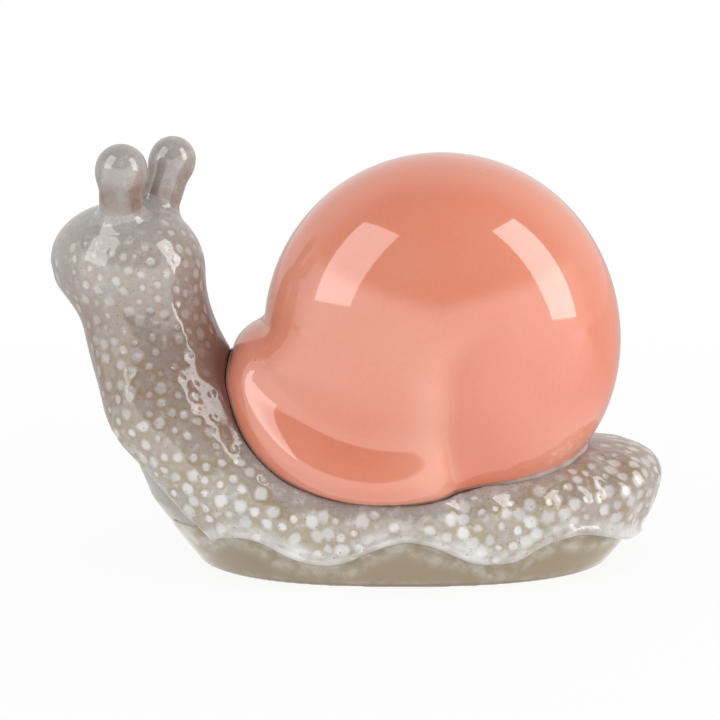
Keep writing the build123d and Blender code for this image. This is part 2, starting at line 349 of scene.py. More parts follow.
@dataclass
class BodyForm:
    """Field of the body: a long foot, a neck that rises along a curve, and a turned head."""

    shell: ShellForm
    tail_low_x: float = 56.0
    tail_overhang: float = 13.0
    front_x: float = -58.5
    front_slope: float = 0.72
    front_height: float = 18.0
    sole_half_width: float = 34.0
    flank_bulge: float = 1.4
    flank_height: float = 13.0
    tail_height: float = 24.0
    crown_height: float = 31.7
    crown_drop: float = 6.5
    plan_fullness: float = 2.3
    shoulder_blend: float = 9.0
    neck_root: tuple[float, float] = (-22.0, 10.0)
    neck_root_pitch: float = 12.0
    neck_root_pull: float = 17.0
    neck_top: tuple[float, float] = (-72.2, 78.0)
    neck_top_pitch: float = 88.0
    neck_top_pull: float = 38.0
    neck_half_depth: float = 17.2
    neck_half_width: float = 16.8
    neck_root_depth: float = 6.8
    neck_spread: float = 0.36
    neck_spread_top: float = 74.0
    neck_fullness: float = 2.0
    neck_blend: float = 6.0
    head_middle: tuple[float, float, float] = (-76.0, 4.0, 80.5)
    head_turn: float = 38.0
    head_front: float = 22.3
    head_rear: float = 17.2
    head_half_width: float = 19.0
    head_half_height: float = 16.2
    head_blend: float = 5.0
    mouth_height: float = 76.0
    mouth_depth: float = 1.0
    mouth_width: float = 1.2
    ridge_place: float = -41.5
    ridge_inset: float = 1.2
    ridge_width: float = 1.4
    skirt_height: float = 9.1
    skirt_wave: float = 3.4
    skirt_wave_length: float = 45.3
    skirt_wave_x: float = -46.0
    skirt_front_height: float = 6.0
    skirt_edge: float = 1.6
    skirt_bead: float = 0.8
    uneven: float = 0.42
    cheek: tuple[float, float, float] = (-75.0, 17.0, 39.0)
    cheek_height: float = 3.2
    cheek_spread: float = 12.0
    seat_gap: float = 0.3
    seat_edge: float = 0.7
    sole_inset: float = 1.0
    sole_top: float = 14.0
    sole_edge: float = 0.9
    spine: Array = field(init=False)

    def __post_init__(self) -> None:
        """Work out the neck's curve as a row of points in the XZ plane."""
        root, top = np.array(self.neck_root), np.array(self.neck_top)
        handles = [root, root + self.heading(self.neck_root_pitch) * self.neck_root_pull,
                   top - self.heading(self.neck_top_pitch) * self.neck_top_pull, top]
        share = np.linspace(0.0, 1.0, 81)[:, None]
        weights = [(1 - share) ** 3, 3 * share * (1 - share) ** 2, 3 * share ** 2 * (1 - share), share ** 3]
        self.spine = sum(weight * handle for weight, handle in zip(weights, handles))

    @staticmethod
    def heading(pitch: float) -> Array:
        """Direction towards the head in the XZ plane, raised by a pitch in degrees."""
        return np.array([-math.cos(math.radians(pitch)), math.sin(math.radians(pitch))])

    def facing(self) -> Array:
        """Level direction in which the head faces."""
        turn = math.radians(self.head_turn)
        return np.array([-math.cos(turn), math.sin(turn), 0.0])

    def leftward(self) -> Array:
        """Level direction to the head's own left."""
        facing = self.facing()
        return np.array([-facing[1], facing[0], 0.0])

    def foot(self, x: Array, y: Array, z: Array) -> Array:
        """Long oval foot with a raised, blunt tail."""
        quarter = math.pi / 2
        tail_x = self.tail_low_x + self.tail_overhang * np.sin(quarter * np.clip(z / self.tail_height, 0, 1))
        bulge = np.sin(quarter * np.clip(z / self.flank_height, 0, 1))
        half_width = self.sole_half_width + self.flank_bulge * bulge
        front_x = self.front_x - self.front_slope * np.clip(z, 0.0, self.front_height)
        middle, half_length = (tail_x + front_x) / 2, (tail_x - front_x) / 2
        along, across = np.abs(x - middle) / half_length, np.abs(y) / half_width
        power = self.plan_fullness
        side = ((along ** power + across ** power) ** (1.0 / power) - 1.0) * self.sole_half_width
        crown = z - (self.crown_height - self.crown_drop * (np.abs(y) / self.sole_half_width) ** 2)
        return smooth_cut(side, crown, self.shoulder_blend)

    def neck(self, x: Array, y: Array, z: Array) -> Array:
        """Neck with oval sections along its curve and a rounded nape."""
        nearest = np.full(np.broadcast(x, z).shape, np.inf)
        share = np.zeros_like(nearest)
        for index, (spine_x, spine_z) in enumerate(self.spine):
            distance = (x - spine_x) ** 2 + (z - spine_z) ** 2
            closer = distance < nearest
            nearest = np.where(closer, distance, nearest)
            share = np.where(closer, index / (len(self.spine) - 1), share)
        flare = (1.0 - share ** 2) ** 2.5
        half_depth = self.neck_half_depth + self.neck_root_depth * flare
        drop = np.clip(self.neck_spread_top - z, 0.0, 44.0)
        half_width = self.neck_half_width + self.neck_spread * drop ** 2 / (drop + 8.0)
        power = self.neck_fullness
        size = (np.sqrt(nearest) / half_depth) ** power + (np.abs(y) / half_width) ** power
        return (size ** (1.0 / power) - 1.0) * half_depth

    def head(self, x: Array, y: Array, z: Array) -> Array:
        """Egg-shaped head with the fold of its mouth, turned to the snail's right."""
        facing, leftward = self.facing(), self.leftward()
        east, north = x - self.head_middle[0], y - self.head_middle[1]
        along = east * facing[0] + north * facing[1]
        across = east * leftward[0] + north * leftward[1]
        fold = np.exp(-((z - self.mouth_height - 0.012 * across ** 2) / self.mouth_width) ** 2)
        fold = fold * ease(11.0, 16.0, along) * (1.0 - ease(11.0, 15.0, np.abs(across)))
        across = across / self.head_half_width
        rise = (z - self.head_middle[2]) / self.head_half_height
        along = along / np.where(along > 0.0, self.head_front, self.head_rear)
        egg = (np.sqrt(along ** 2 + across ** 2 + rise ** 2) - 1.0) * self.head_half_height
        return egg + self.mouth_depth * fold

    def ridge(self, x: Array, y: Array, z: Array) -> Array:
        """Distance behind the ridge that bounds the plain front of the neck."""
        wave = 0.9 * np.sin(0.21 * (y + 7.0)) + 0.5 * np.sin(0.47 * (y - 3.0))
        return (x + z - self.ridge_place) / math.sqrt(2.0) + wave

    def outside(self, x: Array, y: Array, z: Array) -> Array:
        """Foot, neck and head as one form, before it is cut at the skirt and the seat."""
        form = smooth_union(self.foot(x, y, z), self.neck(x, y, z), self.neck_blend)
        return smooth_union(form, self.head(x, y, z), self.head_blend)

    def skirt(self, x: Array, y: Array) -> Array:
        """Height of the wavy lower edge of the glazed body."""
        turn = 2.0 * math.pi * (x - self.skirt_wave_x) / self.skirt_wave_length
        wave = self.skirt_height + self.skirt_wave * np.cos(turn + 0.9 * ease(-5.0, 25.0, y))
        front = ease(-60.0, -49.0, x)
        return self.skirt_front_height + (wave - self.skirt_front_height) * front

    def lumps(self, x: Array, y: Array, z: Array) -> Array:
        """Height of the hand-pressed unevenness of the neck and foot, which fades out on the head."""
        waves = np.sin(0.42 * x + 0.21 * z + 0.6) * np.sin(0.38 * y + 1.1)
        waves = waves + 0.4 * np.sin(0.5 * x - 0.12 * z + 0.4)
        across = np.abs(y)
        far = (x - self.cheek[0]) ** 2 + (across - self.cheek[1]) ** 2 + (z - self.cheek[2]) ** 2
        swelling = self.cheek_height * np.exp(-far / self.cheek_spread ** 2)
        return swelling + self.uneven * waves * ease(4.0, 14.0, across) * (1.0 - ease(66.0, 80.0, z))

    def glazed(self, x: Array, y: Array, z: Array) -> Array:
        """Glazed body with its wavy skirt, plain front and dished seat."""
        behind = ease(-0.5, 0.5, self.ridge(x, y, z) / self.ridge_width)
        bead = self.skirt_bead * np.exp(-((z - self.skirt(x, y) - 1.7) / 1.5) ** 2)
        form = self.outside(x, y, z) + self.ridge_inset * (1.0 - behind) - bead * behind
        form = form - self.lumps(x, y, z) * behind
        form = smooth_cut(form, self.skirt(x, y) - z, self.skirt_edge)
        return smooth_cut(form, self.seat_gap - self.shell.field(x, y, z), self.seat_edge)

    def sole(self, x: Array, y: Array, z: Array) -> Array:
        """Sole inside the skirt, flat underneath."""
        form = np.maximum(self.outside(x, y, z) + self.sole_inset, z - self.sole_top)
        return smooth_cut(form, -z, self.sole_edge)


@dataclass
class StalkForm:
    """Field of one eye stalk, from inside the head up to its bulb."""

    body: BodyForm
    side: Side
    bulb_radius: float
    rod_radius: float = 5.9
    rod_end: float = 3.0
    length: float = 13.3
    set_back: float = 4.6
    spread: float = 7.2
    splay: float = 13.0
    lean_back: float = 13.5
    root: float = 5.0
    waist_blend: float = 2.2

    def foot(self) -> Array:
        """Point on the head from which the stalk rises."""
        body = self.body
        back, out = self.set_back / body.head_rear, self.spread / body.head_half_width
        height = body.head_half_height * math.sqrt(1.0 - back ** 2 - out ** 2)
        offset = body.leftward() * (self.side.value * self.spread) - body.facing() * self.set_back
        return np.array(body.head_middle) + offset + np.array([0.0, 0.0, height])

    def axis(self) -> Array:
        """Unit direction of the stalk."""
        lean = self.body.leftward() * (self.side.value * math.sin(math.radians(self.splay)))
        lean = lean - self.body.facing() * math.sin(math.radians(self.lean_back))
        lean[2] = 1.0
        return lean / np.linalg.norm(lean)

    def field(self, x: Array, y: Array, z: Array) -> Array:
        """Distance to the stalk at points in millimetres."""
        foot, axis = self.foot(), self.axis()
        dx, dy, dz = x - foot[0], y - foot[1], z - foot[2]
        along = dx * axis[0] + dy * axis[1] + dz * axis[2]
        off_axis = np.sqrt(np.maximum(dx ** 2 + dy ** 2 + dz ** 2 - along ** 2, 0.0))
        bulb = np.hypot(off_axis, along - self.length) - self.bulb_radius
        beyond = np.maximum(along - self.length + self.rod_end, 0.0)
        rod = np.maximum(np.hypot(off_axis, beyond) - self.rod_radius, -self.root - along)
        return smooth_union(bulb, rod, self.waist_blend)


def new_piece(name: str, points: Array, faces: Array) -> Object:
    """Make a smooth-shaded object from points in millimetres.

    Args:
        name: The piece's name.
        points: One row for each point.
        faces: Rows of point numbers, turning outwards.

    Returns:
        The new object, linked to the scene.
    """
    mesh = bpy.data.meshes.new(name)
    mesh.from_pydata((points * MM).tolist(), [], faces.tolist())
    mesh.update()
    mesh.polygons.foreach_set("use_smooth", np.ones(len(mesh.polygons), bool))
    piece = bpy.data.objects.new(name, mesh)
    bpy.context.scene.collection.objects.link(piece)
    return piece


def paint(piece: Object, name: str, values: Array) -> None:
    """Store one value for each point of a piece.

    Args:
        piece: The object.
        name: Name of the attribute.
        values: One value for each point.
    """
    layer = piece.data.attributes.new(name, "FLOAT", "POINT")
    layer.data.foreach_set("value", np.asarray(values, np.float32))


def place_piece(piece: Object, nodes: tuple[str, ...]) -> None:
    """Let a piece stand for its castings and report it.

    Args:
        piece: The finished object.
        nodes: Names of the castings that it stands for.
    """
    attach(piece, BODY)
    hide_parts(*nodes)
    LOG.info("%s: %d faces, stands for %s", piece.name, len(piece.data.polygons), ", ".join(nodes))


def add_node(tree: NodeTree, kind: str, inputs: dict | None = None, **settings: Any) -> Node:
    """Add a node, set its options and fill its inputs.

    Args:
        tree: The node tree.
        kind: The node's type.
        inputs: A value or a socket for each named or numbered input.
        **settings: Options of the node.

    Returns:
        The new node.
    """
    node = tree.nodes.new(kind)
    for option, value in settings.items():
        setattr(node, option, value)
    for key, value in (inputs or {}).items():
        if isinstance(value, NodeSocket):
            tree.links.new(value, node.inputs[key])
        else:
            node.inputs[key].default_value = value
    return node


def add_attribute(tree: NodeTree, name: str) -> NodeSocket:
    """Read a painted value in a material and return it."""
    return add_node(tree, "ShaderNodeAttribute", attribute_name=name).outputs["Fac"]


def add_blend(tree: NodeTree, share: Any, first: Any, second: Any) -> NodeSocket:
    """Blend two values by a share and return the result."""
    return add_node(tree, "ShaderNodeMix", {0: share, 2: first, 3: second}).outputs[0]


def add_math(tree: NodeTree, operation: str, *values: Any) -> NodeSocket:
    """Add a Math node and return its result."""
    inputs = dict(enumerate(values))
    return add_node(tree, "ShaderNodeMath", inputs, operation=operation).outputs[0]


def add_step(tree: NodeTree, value: Any, low: float, high: float,
             start: Any = 0.0, end: Any = 1.0) -> NodeSocket:
    """Add a smooth step that goes from start at low to end at high.

    Args:
        tree: The node tree.
        value: Socket that is stepped.
        low: Value at which the step starts.
        high: Value at which it ends.
        start: Result before the step.
        end: Result after it.

    Returns:
        The step's result.
    """
    inputs = {"Value": value, "From Min": low, "From Max": high, "To Min": start, "To Max": end}
    return add_node(tree, "ShaderNodeMapRange", inputs, interpolation_type="SMOOTHSTEP").outputs["Result"]


def add_mix(tree: NodeTree, share: Any, first: Any, second: Any) -> NodeSocket:
    """Mix two colours by a share and return the result."""
    inputs = {0: share, 6: first, 7: second}
    return add_node(tree, "ShaderNodeMix", inputs, data_type="RGBA").outputs[2]


def colour(red: float, green: float, blue: float) -> tuple[float, float, float, float]:
    """Opaque linear colour."""
    return (red, green, blue, 1.0)


class GlazeGroups:
    """Shader node groups that several glazes share."""

    def __init__(self) -> None:
        """Build each group once."""
        self.flecks = self.build_flecks()
        self.mottle = self.build_mottle()

    @staticmethod
    def start(name: str, inputs: tuple[str, ...], output: str) -> tuple[Any, Any, Any]:
        """Make an empty group with value sockets.

        Args:
            name: Name of the group.
            inputs: Names of its inputs.
            output: Name of its output.

        Returns:
            The tree, its input node and its output node.
        """
        tree = bpy.data.node_groups.new(name, "ShaderNodeTree")
        for label in inputs:
            tree.interface.new_socket(label, in_out="INPUT", socket_type="NodeSocketFloat")
        tree.interface.new_socket(output, in_out="OUTPUT", socket_type="NodeSocketFloat")
        return tree, tree.nodes.new("NodeGroupInput"), tree.nodes.new("NodeGroupOutput")

    def build_flecks(self) -> NodeTree:
        """Small round pinholes scattered in the glaze, as a mask."""
        tree, given, result = self.start("glaze_flecks", ("Scale", "Radius", "Share"), "Mask")
        place = add_node(tree, "ShaderNodeTexCoord").outputs["Object"]
        cells = add_node(tree, "ShaderNodeTexVoronoi", {"Vector": place, "Scale": given.outputs["Scale"]})
        chance = add_node(tree, "ShaderNodeSeparateColor", {"Color": cells.outputs["Color"]}).outputs["Red"]
        shown = add_math(tree, "LESS_THAN", chance, given.outputs["Share"])
        size = add_math(tree, "DIVIDE", cells.outputs["Distance"], given.outputs["Radius"])
        dot = add_step(tree, size, 0.6, 1.0, 1.0, 0.0)
        tree.links.new(add_math(tree, "MULTIPLY", dot, shown), result.inputs["Mask"])
        return tree

    def build_mottle(self) -> NodeTree:
        """Cloudy variation in the glaze, as a value from 0 to 1."""
        tree, given, result = self.start("glaze_mottle", ("Scale", "Detail", "Contrast"), "Value")
        place = add_node(tree, "ShaderNodeTexCoord").outputs["Object"]
        inputs = {"Vector": place, "Scale": given.outputs["Scale"], "Detail": given.outputs["Detail"]}
        noise = add_node(tree, "ShaderNodeTexNoise", inputs).outputs["Fac"]
        centred = add_math(tree, "SUBTRACT", noise, 0.5)
        spread = add_math(tree, "MULTIPLY", centred, given.outputs["Contrast"])
        value = add_node(tree, "ShaderNodeMath", {0: spread, 1: 0.5}, operation="ADD", use_clamp=True)
        tree.links.new(value.outputs[0], result.inputs["Value"])
        return tree


@dataclass(frozen=True)
class Glaze:
    """What every finish of the figurine has in common."""

    name: str
    roughness: float = 0.08
    bump: float = 0.12
    bump_height: float = 0.4 * MM
    refraction: float = 1.52

    def start(self) -> tuple[Material, NodeTree, Node]:
        """Make the material with its shader.

        Returns:
            The material, its tree and its shader.
        """
        material = bpy.data.materials.new(self.name)
        material.use_nodes = True
        tree = material.node_tree
        shader = tree.nodes["Principled BSDF"]
        shader.inputs["Roughness"].default_value = self.roughness
        shader.inputs["IOR"].default_value = self.refraction
        return material, tree, shader

    @staticmethod
    def flecks(tree: NodeTree, groups: GlazeGroups, scale: float, radius: float,
               share: float) -> NodeSocket:
        """Place the pinhole group and return its mask."""
        inputs = {"Scale": scale, "Radius": radius, "Share": share}
        return add_node(tree, "ShaderNodeGroup", inputs, node_tree=groups.flecks).outputs["Mask"]

    @staticmethod
    def mottle(tree: NodeTree, groups: GlazeGroups, scale: float, detail: float,
               contrast: float) -> NodeSocket:
        """Place the mottle group and return its value."""
        inputs = {"Scale": scale, "Detail": detail, "Contrast": contrast}
        return add_node(tree, "ShaderNodeGroup", inputs, node_tree=groups.mottle).outputs["Value"]

    def relief(self, tree: NodeTree, shader: Node, height: Any) -> None:
        """Bump the shader by a height."""
        inputs = {"Strength": self.bump, "Distance": self.bump_height, "Height": height}
        bump = add_node(tree, "ShaderNodeBump", inputs)
        tree.links.new(bump.outputs["Normal"], shader.inputs["Normal"])


@dataclass(frozen=True)
class CoralGlaze(Glaze):
    """Glossy coral glaze of the shell, with painted highlight and painted shade mixed into its colour."""

    deep: tuple = colour(0.70, 0.205, 0.125)
    pale: tuple = colour(0.74, 0.30, 0.205)
    pinhole: tuple = colour(0.42, 0.13, 0.09)

    def build(self, groups: GlazeGroups) -> Material:
        """Make the material."""
        material, tree, shader = self.start()
        clouds = self.mottle(tree, groups, 24.0, 2.0, 2.0)
        grain = self.mottle(tree, groups, 900.0, 2.0, 1.2)
        share = add_math(tree, "ADD", add_math(tree, "MULTIPLY", clouds, 0.7),
                         add_math(tree, "MULTIPLY", grain, 0.3))
        painted_light_and_shade = add_attribute(tree, "painted_light_and_shade")
        # Painted highlight and painted shade: the painted value turns the colour pale on the crease's ridge
        # and the lower rear, and deep in the valley behind the crease.
        base = add_mix(tree, add_math(tree, "ADD", share, painted_light_and_shade), self.deep, self.pale)
        holes = self.flecks(tree, groups, 170.0, 0.055, 0.22)
        tree.links.new(add_mix(tree, holes, base, self.pinhole), shader.inputs["Base Color"])
        swell = self.mottle(tree, groups, 60.0, 1.0, 1.0)
        height = add_math(tree, "SUBTRACT", swell, holes)
        self.relief(tree, shader, height)
        return material


@dataclass(frozen=True)
class GreyGlaze(Glaze):
    """Misty grey ground over tan clay, shared by the body and the stalks."""

    grey: tuple = colour(0.385, 0.355, 0.33)
    tan: tuple = colour(0.375, 0.315, 0.225)
    mauve: tuple = colour(0.27, 0.225, 0.205)
    mist: tuple = colour(0.56, 0.545, 0.525)
    speck: tuple = colour(0.12, 0.09, 0.07)

    def ground(self, tree: NodeTree, groups: GlazeGroups, show: Any, haze_share: Any) -> Any:
        """Colour of the ground.

        Args:
            tree: The material's tree.
            groups: The shared effects.
            show: How far the clay shows through.
            haze_share: How strong the pale haze is.

        Returns:
            The colour's socket.
        """
        base = add_mix(tree, show, self.grey, self.tan)
        haze = add_step(tree, self.mottle(tree, groups, 420.0, 3.0, 2.2), 0.4, 0.95)
        base = add_mix(tree, add_math(tree, "MULTIPLY", haze, haze_share), base, self.mist)
        grain = add_step(tree, self.mottle(tree, groups, 1700.0, 2.0, 2.6), 0.5, 0.95)
        return add_mix(tree, add_math(tree, "MULTIPLY", grain, 0.4), base, self.mauve)


@dataclass(frozen=True)
class SpottedGlaze(GreyGlaze):
    """Grey glaze over tan clay, with white spots that have caramel edges, and dark red-brown painted shade on
    the neck and the tail.
    """

    caramel: tuple = colour(0.36, 0.28, 0.165)
    # Painted shade: dark red-brown that stands in for the shadow and the painted reflection of the coral
    # shell on the neck under the lip, and for shade on the neck and tail.
    painted_shade: tuple = colour(0.16, 0.065, 0.048)
    white: tuple = colour(0.70, 0.69, 0.67)
    plain: tuple = colour(0.29, 0.262, 0.215)

    def build(self, groups: GlazeGroups) -> Material:
        """Make the material."""
        material, tree, shader = self.start()
        reach = add_attribute(tree, "spot_reach")
        bare = add_attribute(tree, "plain")
        pooled = add_attribute(tree, "pooled")
        clay = add_attribute(tree, "clay")
        strength = add_attribute(tree, "spot_strength")
        painted_shade = add_attribute(tree, "painted_shade")
        ragged = self.mottle(tree, groups, 750.0, 3.0, 1.0)
        wobble = add_math(tree, "MULTIPLY", add_math(tree, "SUBTRACT", ragged, 0.5), 0.5)
        edge = add_math(tree, "ADD", reach, wobble)

        clouds = self.mottle(tree, groups, 110.0, 4.0, 3.0)
        show = add_math(tree, "MULTIPLY", add_math(tree, "MULTIPLY", clouds, clay), 0.8)
        whiteness = add_attribute(tree, "spot_white")
        base = self.ground(tree, groups, show, add_math(tree, "MULTIPLY", whiteness, 0.65))
        fading = add_step(tree, edge, 1.3, 2.1, 0.9, 0.0)
        ring = add_math(tree, "MULTIPLY", add_step(tree, edge, 0.8, 1.2), fading)
        patchy = add_step(tree, self.mottle(tree, groups, 330.0, 2.0, 2.2), 0.2, 0.7)
        ring = add_math(tree, "MULTIPLY", ring, add_math(tree, "MULTIPLY", patchy, clay))
        base = add_mix(tree, ring, base, self.caramel)
        spot = add_math(tree, "MULTIPLY", add_step(tree, edge, 0.5, 1.1, 1.0, 0.0), strength)
        spot = add_math(tree, "MULTIPLY", spot, whiteness)
        base = add_mix(tree, spot, base, self.white)
        base = add_mix(tree, bare, base, self.plain)
        base = add_mix(tree, add_math(tree, "MULTIPLY", pooled, clouds), base, self.white)
        # Painted shade and painted reflection of the shell, mixed in by the painted shade value.
        base = add_mix(tree, painted_shade, base, self.painted_shade)
        specks = self.flecks(tree, groups, 640.0, 0.15, 0.55)
        base = add_mix(tree, add_math(tree, "MULTIPLY", specks, 0.75), base, self.speck)
        tree.links.new(base, shader.inputs["Base Color"])
        height = add_math(tree, "SUBTRACT", self.mottle(tree, groups, 160.0, 2.0, 1.0), specks)
        self.relief(tree, shader, height)
        return material


@dataclass(frozen=True)
class StalkGlaze(GreyGlaze):
    """Plain grey glaze of the stalks, warmer where the clay shows through."""

    warm: tuple = colour(0.25, 0.18, 0.14)

    def build(self, groups: GlazeGroups) -> Material:
        """Make the material."""
        material, tree, shader = self.start()
        warmth = add_attribute(tree, "warmth")
        clouds = self.mottle(tree, groups, 130.0, 3.0, 2.5)
        base = self.ground(tree, groups, 0.0, 0.4)
        base = add_mix(tree, add_math(tree, "MULTIPLY", clouds, warmth), base, self.warm)
        specks = self.flecks(tree, groups, 520.0, 0.13, 0.25)
        tree.links.new(add_mix(tree, add_math(tree, "MULTIPLY", specks, 0.7), base, self.speck),
                       shader.inputs["Base Color"])
        height = add_math(tree, "SUBTRACT", self.mottle(tree, groups, 160.0, 2.0, 1.0), specks)
        self.relief(tree, shader, height)
        return material


@dataclass(frozen=True)
class BareClay(Glaze):
    """Tan clay of the sole under thin, pale runs of glaze."""

    tan: tuple = colour(0.268, 0.207, 0.124)
    pale: tuple = colour(0.46, 0.44, 0.385)
    # Colour of the specks, and of the painted contact shadow along the sole's bottom edge.
    speck: tuple = colour(0.16, 0.12, 0.08)

    def build(self, groups: GlazeGroups) -> Material:
        """Make the material."""
        material, tree, shader = self.start()
        run = add_attribute(tree, "run")
        clouds = self.mottle(tree, groups, 90.0, 4.0, 2.5)
        broken = add_step(tree, self.mottle(tree, groups, 240.0, 4.0, 2.0), 0.1, 0.8)
        base = add_mix(tree, add_math(tree, "MULTIPLY", run, broken), self.tan, self.pale)
        # Painted contact shadow: the line value darkens the sole below about 1.2 mm.
        line = add_attribute(tree, "line")
        base = add_mix(tree, line, base, self.speck)
        specks = self.flecks(tree, groups, 420.0, 0.12, 0.3)
        tree.links.new(add_mix(tree, add_math(tree, "MULTIPLY", specks, 0.6), base, self.speck),
                       shader.inputs["Base Color"])
        self.relief(tree, shader, clouds)
        return material


@dataclass(frozen=True)
class BeddingSlip(Glaze):
    """Grey-brown slip and glaze in the line between shell and body; the dark front is painted shadow under
    the shell's lip.
    """

    # Painted shadow: the bead's dark front stands in for the shadow gap under the lip.
    dark: tuple = colour(0.24, 0.145, 0.12)
    light: tuple = colour(0.47, 0.41, 0.37)

    def build(self, groups: GlazeGroups) -> Material:
        """Make the material."""
        material, tree, shader = self.start()
        shader.inputs["Specular IOR Level"].default_value = 0.08
        bead = add_attribute(tree, "bead")
        clouds = self.mottle(tree, groups, 260.0, 2.0, 1.5)
        share = add_math(tree, "MULTIPLY", bead, add_math(tree, "ADD", clouds, 0.4))
        tree.links.new(add_mix(tree, share, self.dark, self.light), shader.inputs["Base Color"])
        self.relief(tree, shader, clouds)
        return material


@dataclass
class SpotTree:
    """Geometry Nodes tree that scatters glaze spots over the body and raises them."""

    spacing: float = 3.3 * MM
    smallest: float = 0.55
    largest: float = 1.25
    relief: float = 0.22 * MM
    swell: float = 0.14 * MM
    swell_scale: float = 150.0
    ragged: float = 1.3 * MM
    ragged_scale: float = 420.0
    faintest: float = 0.5
    density: float = 400000.0
    seed: int = 7
    fading_seed: int = 19

    def dress(self, piece: Object, material: Material) -> None:
        """Run the tree on a piece and keep the result as its plain mesh.

        Args:
            piece: The body, with its spot_density and spot_size painted on.
            material: Its glaze.
        """
        values = {"Spacing": self.spacing, "Smallest": self.smallest, "Largest": self.largest,
                  "Relief": self.relief, "Swell": self.swell, "Swell Scale": self.swell_scale,
                  "Ragged": self.ragged, "Ragged Scale": self.ragged_scale, "Faintest": self.faintest,
                  "Density": self.density, "Seed": self.seed, "Fading Seed": self.fading_seed,
                  "Glaze": material}
        tree, sockets = self.build(values)
        modifier = piece.modifiers.new("glaze_spots", "NODES")
        modifier.node_group = tree
        for label, value in values.items():
            modifier[sockets[label].identifier] = value
        graph = bpy.context.evaluated_depsgraph_get()
        graph.update()
        finished = bpy.data.meshes.new_from_object(
            piece.evaluated_get(graph), preserve_all_data_layers=True, depsgraph=graph)
        piece.modifiers.remove(modifier)
        piece.data = finished

    @staticmethod
    def painted(tree: NodeTree, name: str) -> NodeSocket:
        """Read a value stored on the piece."""
        inputs = {"Name": name}
        node = add_node(tree, "GeometryNodeInputNamedAttribute", inputs, data_type="FLOAT")
        return node.outputs["Attribute"]

    @staticmethod
    def store(tree: NodeTree, piece: NodeSocket, name: str, value: NodeSocket) -> NodeSocket:
        """Store a value on each point of the piece."""
        inputs = {"Geometry": piece, "Name": name, "Value": value}
        node = add_node(tree, "GeometryNodeStoreNamedAttribute", inputs, data_type="FLOAT", domain="POINT")
        return node.outputs["Geometry"]

    @staticmethod
    def at_spot(tree: NodeTree, spots: NodeSocket, number: NodeSocket, value: NodeSocket,
                kind: str = "FLOAT") -> NodeSocket:
        """Take a value at the spot with a given number."""
        inputs = {"Geometry": spots, "Value": value, "Index": number}
        node = add_node(tree, "GeometryNodeSampleIndex", inputs, data_type=kind, domain="POINT")
        return node.outputs["Value"]

    @staticmethod
    def vectors(tree: NodeTree, operation: str, inputs: dict, output: str = "Vector") -> NodeSocket:
        """Add a Vector Math node and return its result."""
        return add_node(tree, "ShaderNodeVectorMath", inputs, operation=operation).outputs[output]

    def build(self, values: dict[str, Any]) -> tuple[NodeTree, dict]:
        """Build the tree.

        Args:
            values: Value of each input, by name.

        Returns:
            The tree, and its input sockets by name.
        """
        tree = bpy.data.node_groups.new("glaze_spots", "GeometryNodeTree")
        for side in ("INPUT", "OUTPUT"):
            tree.interface.new_socket("Geometry", in_out=side, socket_type="NodeSocketGeometry")
        sockets = {}
        for label, value in values.items():
            number = "NodeSocketInt" if isinstance(value, int) else "NodeSocketFloat"
            kind = "NodeSocketMaterial" if isinstance(value, Material) else number
            sockets[label] = tree.interface.new_socket(label, in_out="INPUT", socket_type=kind)
        given = tree.nodes.new("NodeGroupInput").outputs
        result = tree.nodes.new("NodeGroupOutput")

        scatter = add_node(tree, "GeometryNodeDistributePointsOnFaces", {
            "Mesh": given["Geometry"], "Distance Min": given["Spacing"], "Density Max": given["Density"],
            "Density Factor": self.painted(tree, "spot_density"), "Seed": given["Seed"]},
            distribute_method="POISSON")
        spots = scatter.outputs["Points"]
        chance = add_node(tree, "FunctionNodeRandomValue", {
            2: given["Smallest"], 3: given["Largest"], "Seed": given["Seed"]}, data_type="FLOAT")
        radius = add_math(tree, "MULTIPLY", chance.outputs[1], self.painted(tree, "spot_size"))
        fading = add_node(tree, "FunctionNodeRandomValue", {
            2: given["Faintest"], 3: 1.0, "Seed": given["Fading Seed"]}, data_type="FLOAT")

        place = add_node(tree, "GeometryNodeInputPosition").outputs[0]
        ragged = add_node(tree, "ShaderNodeTexNoise", {
            "Vector": place, "Scale": given["Ragged Scale"], "Detail": 1.0})
        centred = self.vectors(tree, "SUBTRACT", {0: ragged.outputs["Color"], 1: (0.5, 0.5, 0.5)})
        shift = self.vectors(tree, "SCALE", {0: centred, "Scale": given["Ragged"]})
        warped = self.vectors(tree, "ADD", {0: place, 1: shift})
        nearest = add_node(tree, "GeometryNodeSampleNearest", {
            "Geometry": spots, "Sample Position": warped}, domain="POINT").outputs["Index"]
        middle = self.at_spot(tree, spots, nearest, place, "FLOAT_VECTOR")
        distance = self.vectors(tree, "DISTANCE", {0: warped, 1: middle}, "Value")
        reach = add_math(tree, "DIVIDE", distance, self.at_spot(tree, spots, nearest, radius))
        reach = add_math(tree, "MINIMUM", reach, 4.0)
        stored = self.store(tree, given["Geometry"], "spot_reach", reach)
        strength = self.at_spot(tree, spots, nearest, fading.outputs[1])
        stored = self.store(tree, stored, "spot_strength", strength)

